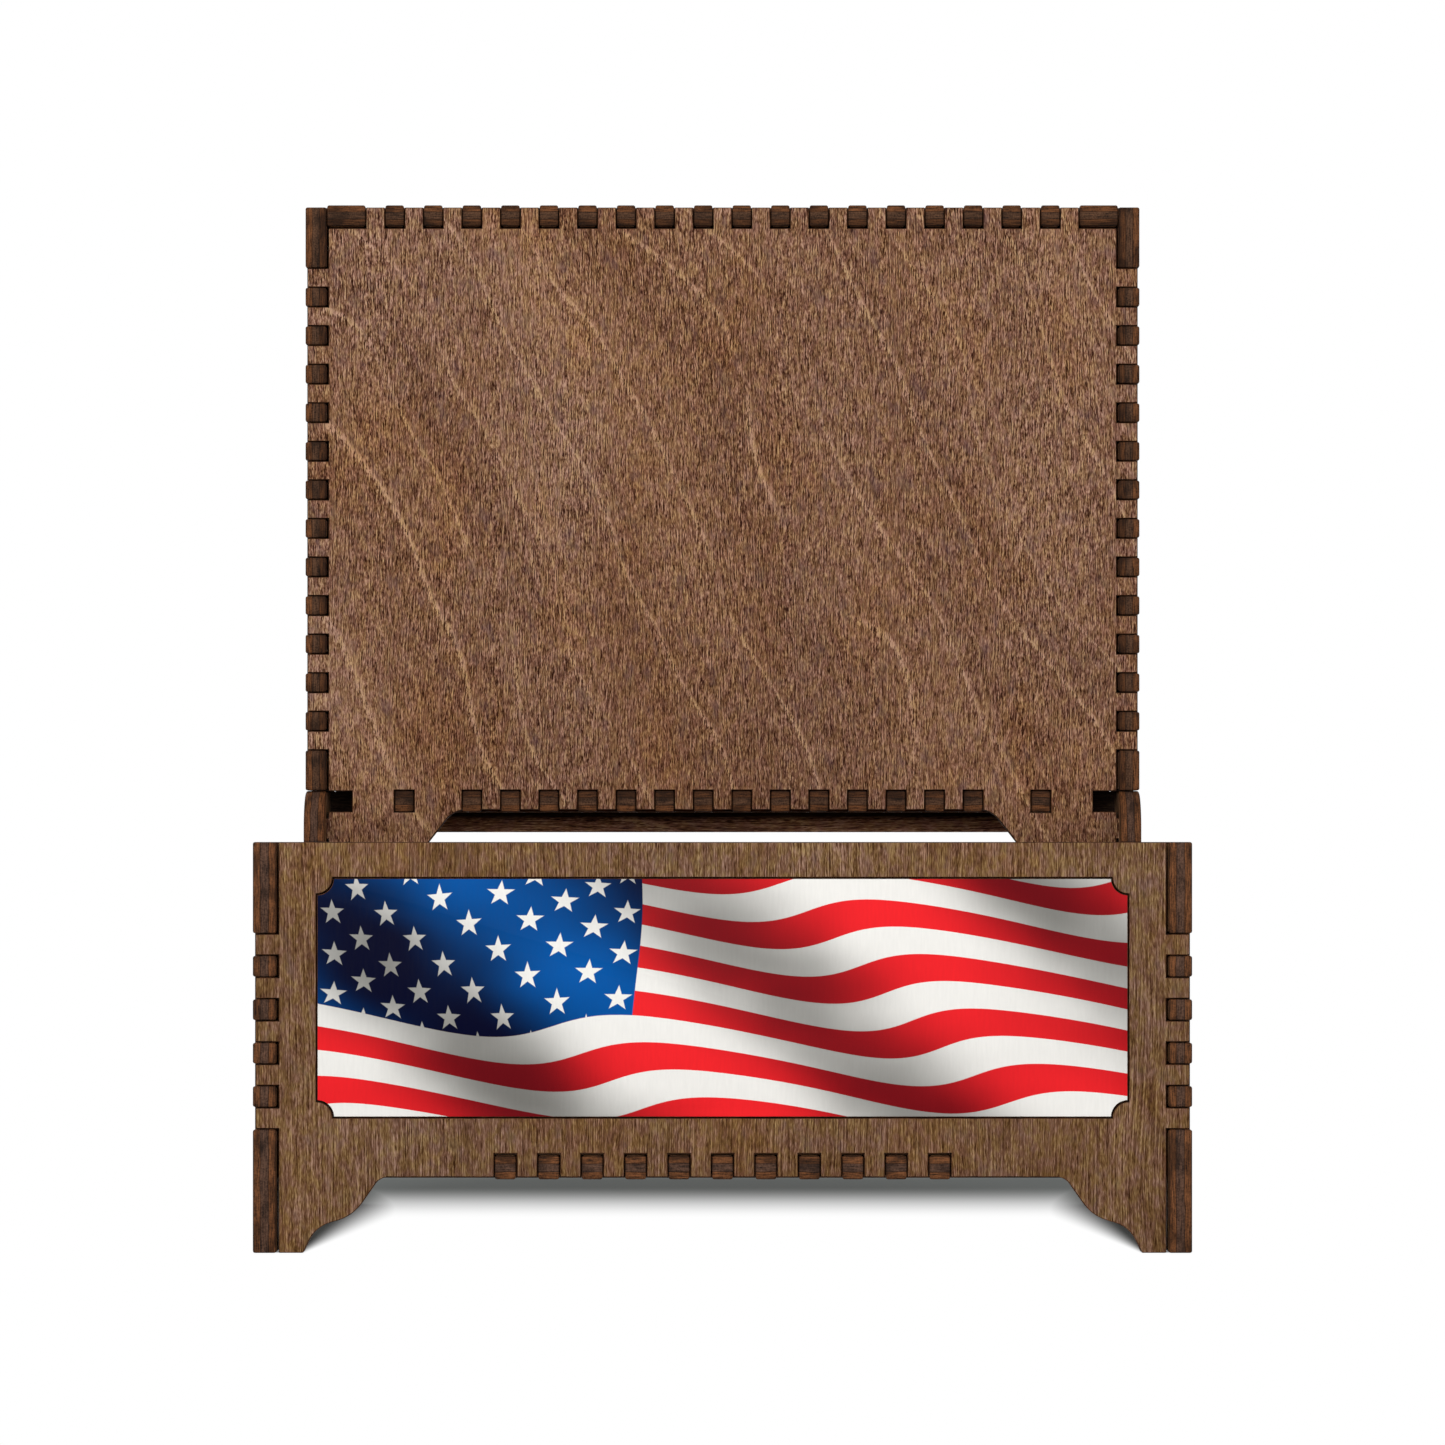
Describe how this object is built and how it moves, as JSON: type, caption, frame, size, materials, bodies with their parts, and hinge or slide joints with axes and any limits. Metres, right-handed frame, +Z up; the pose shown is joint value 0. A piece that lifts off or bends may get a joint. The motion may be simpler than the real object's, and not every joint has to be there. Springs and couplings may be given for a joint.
{
  "type": "hinged keepsake case",
  "caption": "Finger-jointed plywood keepsake case on bracket feet, with a printed plaque in its front and a hollow lid that swings open on wooden pins and stands upright.",
  "frame": {"origin": "on the ground, in the middle of the bounding box with the lid upright", "axes": "+X to the right seen from the front, +Y to the back, +Z up"},
  "size_m": [0.1206, 0.1068, 0.1444],
  "materials": {
    "case_board": "stained plywood, matt, dark laser-cut edges",
    "lid_board": "stained plywood, matt, dark laser-cut edges",
    "printed_board": "printed board, satin",
    "backing_board": "thin stained plywood, matt"
  },
  "bodies": {
    "case": {"front_panel": "case_board", "back_panel": "case_board", "left_side_panel": "case_board", "right_side_panel": "case_board", "floor_panel": "case_board", "flag_plaque": "printed_board", "plaque_backer": "backing_board"},
    "lid": {"lid_inner_panel": "lid_board", "lid_outer_panel": "lid_board", "lid_front_wall": "lid_board", "lid_back_wall": "lid_board", "lid_left_wall": "lid_board", "lid_right_wall": "lid_board"}
  },
  "joints": [
    {"name": "lid_hinge", "type": "hinge", "parent": "case", "child": "lid", "pos_m": [0, 0.03659, 0.05445], "axis": [1, 0, 0], "range_deg": [0, 90]}
  ]
}
